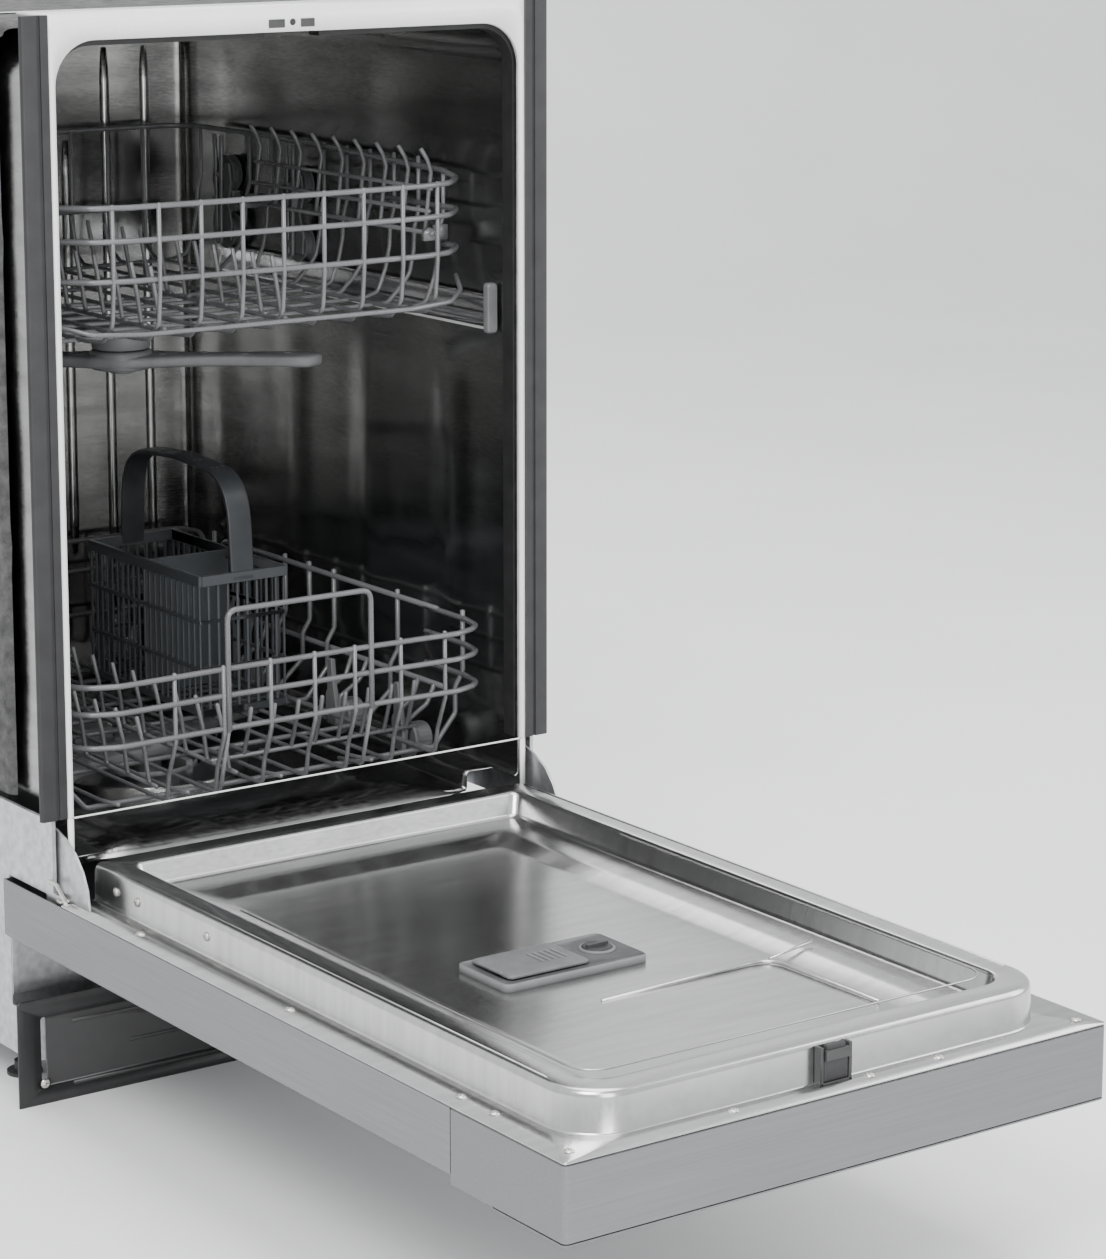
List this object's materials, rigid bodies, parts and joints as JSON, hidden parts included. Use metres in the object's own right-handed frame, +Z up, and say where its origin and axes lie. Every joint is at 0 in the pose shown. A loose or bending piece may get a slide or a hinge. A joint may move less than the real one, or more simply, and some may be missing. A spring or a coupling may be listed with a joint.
{
  "type": "built in dishwasher",
  "caption": "Slim built-in dishwasher with its door let down, sliding wire racks on wheels and rails, cutlery basket, spray arms, dispenser, toe plate and adjustable feet.",
  "frame": {"origin": "on the floor, under the middle of the machine with its door let down", "axes": "+Z up; +Y from the front of the machine to its back; +X to the right of somebody facing it"},
  "size_m": [0.46, 1.188, 0.845],
  "materials": {
    "stainless_outer": "brushed",
    "stainless_inner": "satin",
    "galvanised": "satin",
    "enamel_white": "gloss",
    "black_plastic": "matte",
    "black_gloss": "gloss",
    "kick_black": "satin",
    "grey_plastic": "matte",
    "light_grey_plastic": "matte",
    "white_plastic": "matte",
    "dark_basket": "matte",
    "rack_coating": "satin",
    "rubber_seal": "matte",
    "bitumen_blanket": "matte",
    "chrome_rail": "polished",
    "zinc_steel": "satin",
    "circuit_board": "satin"
  },
  "bodies": {
    "cabinet": {"tub": "stainless_inner", "front_frame": "enamel_white", "side_trims": "black_plastic", "door_gasket": "rubber_seal", "insulation_blanket": "bitumen_blanket", "base_frame": "galvanised", "access_panel": "galvanised", "kick_screws": "zinc_steel", "hinge_brackets": "galvanised", "hinge_pins": "zinc_steel", "latch_strike": "black_plastic", "sump_housing": "grey_plastic", "circulation_pump": "black_plastic", "drain_pump": "white_plastic", "inlet_valve": "white_plastic", "spray_feed_pipe": "grey_plastic", "filter_plate": "stainless_inner", "lower_arm_post": "grey_plastic", "rail_guides": "white_plastic"},
    "door": {"door_outer_panel": "stainless_outer", "console_housing": "stainless_outer", "control_fascia": "stainless_outer", "control_board": "circuit_board", "door_inner_liner": "stainless_inner", "dispenser_body": "light_grey_plastic", "latch_guide": "black_plastic", "hinge_arms": "galvanised", "spring_hooks": "zinc_steel", "door_screws": "zinc_steel"},
    "lower_basket": {"lower_rack": "rack_coating", "cutlery_basket": "dark_basket"},
    "upper_basket": {"upper_rack": "rack_coating", "middle_arm_feed": "grey_plastic"},
    "rails": {"sliding_rails": "chrome_rail", "rail_caps": "light_grey_plastic"},
    "leg_front_left": {"leg_front_left": "black_plastic"},
    "leg_front_right": {"leg_front_right": "black_plastic"},
    "leg_back_left": {"leg_back_left": "black_plastic"},
    "leg_back_right": {"leg_back_right": "black_plastic"},
    "kick_plate": {"kick_plate": "kick_black"},
    "filter_cup": {"filter_cup": "grey_plastic"},
    "lower_spray_arm": {"lower_spray_arm": "grey_plastic"},
    "button_power": {"button_power": "black_gloss"},
    "button_options": {"button_options": "black_gloss"},
    "button_dry": {"button_dry": "black_gloss"},
    "button_delay": {"button_delay": "black_gloss"},
    "button_start": {"button_start": "black_gloss"},
    "dispenser_lid": {"dispenser_lid": "light_grey_plastic"},
    "rinse_aid_cap": {"rinse_aid_cap": "black_plastic"},
    "latch_tongue": {"latch_tongue": "black_plastic"},
    "lower_wheels_rear": {"lower_wheels_rear": "light_grey_plastic"},
    "lower_wheels_middle_rear": {"lower_wheels_middle_rear": "light_grey_plastic"},
    "lower_wheels_middle_front": {"lower_wheels_middle_front": "light_grey_plastic"},
    "lower_wheels_front": {"lower_wheels_front": "light_grey_plastic"},
    "upper_rollers_front": {"upper_rollers_front": "light_grey_plastic"},
    "upper_rollers_rear": {"upper_rollers_rear": "light_grey_plastic"},
    "spare_rollers_front": {"spare_rollers_front": "light_grey_plastic"},
    "spare_rollers_rear": {"spare_rollers_rear": "light_grey_plastic"},
    "cup_shelf": {"cup_shelf": "rack_coating"},
    "middle_spray_arm": {"middle_spray_arm": "grey_plastic"}
  },
  "joints": [
    {"name": "door_swing", "type": "hinge", "parent": "cabinet", "child": "door", "pos_m": [0, 0.057, 0.189], "axis": [1, 0, 0], "range_deg": [-90, 0]},
    {"name": "button_power_press", "type": "slide", "parent": "door", "child": "button_power", "axis": [0, 0, 1], "range_m": [0, 0.0015], "stiffness_N_per_m": 400},
    {"name": "button_options_press", "type": "slide", "parent": "door", "child": "button_options", "axis": [0, 0, 1], "range_m": [0, 0.0015], "stiffness_N_per_m": 400},
    {"name": "button_dry_press", "type": "slide", "parent": "door", "child": "button_dry", "axis": [0, 0, 1], "range_m": [0, 0.0015], "stiffness_N_per_m": 400},
    {"name": "button_delay_press", "type": "slide", "parent": "door", "child": "button_delay", "axis": [0, 0, 1], "range_m": [0, 0.0015], "stiffness_N_per_m": 400},
    {"name": "button_start_press", "type": "slide", "parent": "door", "child": "button_start", "axis": [0, 0, 1], "range_m": [0, 0.0015], "stiffness_N_per_m": 400},
    {"name": "latch_press", "type": "slide", "parent": "door", "child": "latch_tongue", "axis": [0, 1, 0], "range_m": [0, 0.0025], "stiffness_N_per_m": 1200},
    {"name": "dispenser_lid_swing", "type": "hinge", "parent": "door", "child": "dispenser_lid", "pos_m": [-0.07, -0.29, 0.2017], "axis": [0, 1, 0], "range_deg": [-100, 0]},
    {"name": "rinse_cap_twist", "type": "hinge", "parent": "door", "child": "rinse_aid_cap", "pos_m": [0.022, -0.29, 0.2], "axis": [0, 0, 1], "range_deg": [-90, 0]},
    {"name": "lower_rack_slide", "type": "slide", "parent": "cabinet", "child": "lower_basket", "axis": [0, -1, 0], "range_m": [0, 0.503]},
    {"name": "lower_wheels_rear_roll", "type": "hinge", "parent": "lower_basket", "child": "lower_wheels_rear", "pos_m": [0, 0.563, 0.232], "axis": [1, 0, 0], "continuous": true},
    {"name": "lower_wheels_middle_rear_roll", "type": "hinge", "parent": "lower_basket", "child": "lower_wheels_middle_rear", "pos_m": [0, 0.443, 0.232], "axis": [1, 0, 0], "continuous": true},
    {"name": "lower_wheels_middle_front_roll", "type": "hinge", "parent": "lower_basket", "child": "lower_wheels_middle_front", "pos_m": [0, 0.279, 0.232], "axis": [1, 0, 0], "continuous": true},
    {"name": "lower_wheels_front_roll", "type": "hinge", "parent": "lower_basket", "child": "lower_wheels_front", "pos_m": [0, 0.176, 0.232], "axis": [1, 0, 0], "continuous": true},
    {"name": "upper_rack_slide", "type": "slide", "parent": "cabinet", "child": "upper_basket", "axis": [0, -1, 0], "range_m": [0, 0.313]},
    {"name": "rail_slide", "type": "slide", "parent": "cabinet", "child": "rails", "axis": [0, -1, 0], "range_m": [0, 0.2001]},
    {"name": "upper_rollers_front_roll", "type": "hinge", "parent": "upper_basket", "child": "upper_rollers_front", "pos_m": [0, 0.38, 0.622], "axis": [1, 0, 0], "continuous": true},
    {"name": "spare_rollers_front_roll", "type": "hinge", "parent": "upper_basket", "child": "spare_rollers_front", "pos_m": [0, 0.38, 0.672], "axis": [1, 0, 0], "continuous": true},
    {"name": "upper_rollers_rear_roll", "type": "hinge", "parent": "upper_basket", "child": "upper_rollers_rear", "pos_m": [0, 0.5, 0.622], "axis": [1, 0, 0], "continuous": true},
    {"name": "spare_rollers_rear_roll", "type": "hinge", "parent": "upper_basket", "child": "spare_rollers_rear", "pos_m": [0, 0.5, 0.672], "axis": [1, 0, 0], "continuous": true},
    {"name": "middle_arm_spin", "type": "hinge", "parent": "upper_basket", "child": "middle_spray_arm", "pos_m": [0, 0.345, 0.543], "axis": [0, 0, 1], "continuous": true},
    {"name": "cup_shelf_fold", "type": "hinge", "parent": "upper_basket", "child": "cup_shelf", "pos_m": [0.171, 0.287, 0.655], "axis": [0, 1, 0], "range_deg": [-75, 0]},
    {"name": "lower_arm_spin", "type": "hinge", "parent": "cabinet", "child": "lower_spray_arm", "pos_m": [0, 0.32, 0.222], "axis": [0, 0, 1], "continuous": true},
    {"name": "filter_twist", "type": "hinge", "parent": "cabinet", "child": "filter_cup", "pos_m": [0, 0.32, 0.205], "axis": [0, 0, 1], "range_deg": [-45, 0]},
    {"name": "kick_plate_slide", "type": "slide", "parent": "cabinet", "child": "kick_plate", "axis": [0, 0, 1], "range_m": [-0.05, 0]},
    {"name": "leg_front_left_screw", "type": "slide", "parent": "cabinet", "child": "leg_front_left", "axis": [0, 0, 1], "range_m": [-0.04, 0]},
    {"name": "leg_front_right_screw", "type": "slide", "parent": "cabinet", "child": "leg_front_right", "axis": [0, 0, 1], "range_m": [-0.04, 0]},
    {"name": "leg_back_left_screw", "type": "slide", "parent": "cabinet", "child": "leg_back_left", "axis": [0, 0, 1], "range_m": [-0.04, 0]},
    {"name": "leg_back_right_screw", "type": "slide", "parent": "cabinet", "child": "leg_back_right", "axis": [0, 0, 1], "range_m": [-0.04, 0]}
  ],
  "couplings": [
    {"joint": "lower_wheels_rear_roll", "follows": "lower_rack_slide", "rad_per_m": 78.74},
    {"joint": "lower_wheels_middle_rear_roll", "follows": "lower_rack_slide", "rad_per_m": 78.74},
    {"joint": "lower_wheels_middle_front_roll", "follows": "lower_rack_slide", "rad_per_m": 78.74},
    {"joint": "lower_wheels_front_roll", "follows": "lower_rack_slide", "rad_per_m": 78.74},
    {"joint": "rail_slide", "follows": "upper_rack_slide", "ratio": 0.639},
    {"joint": "upper_rollers_front_roll", "follows": "upper_rack_slide", "rad_per_m": 27.8},
    {"joint": "upper_rollers_rear_roll", "follows": "upper_rack_slide", "rad_per_m": 27.8}
  ]
}
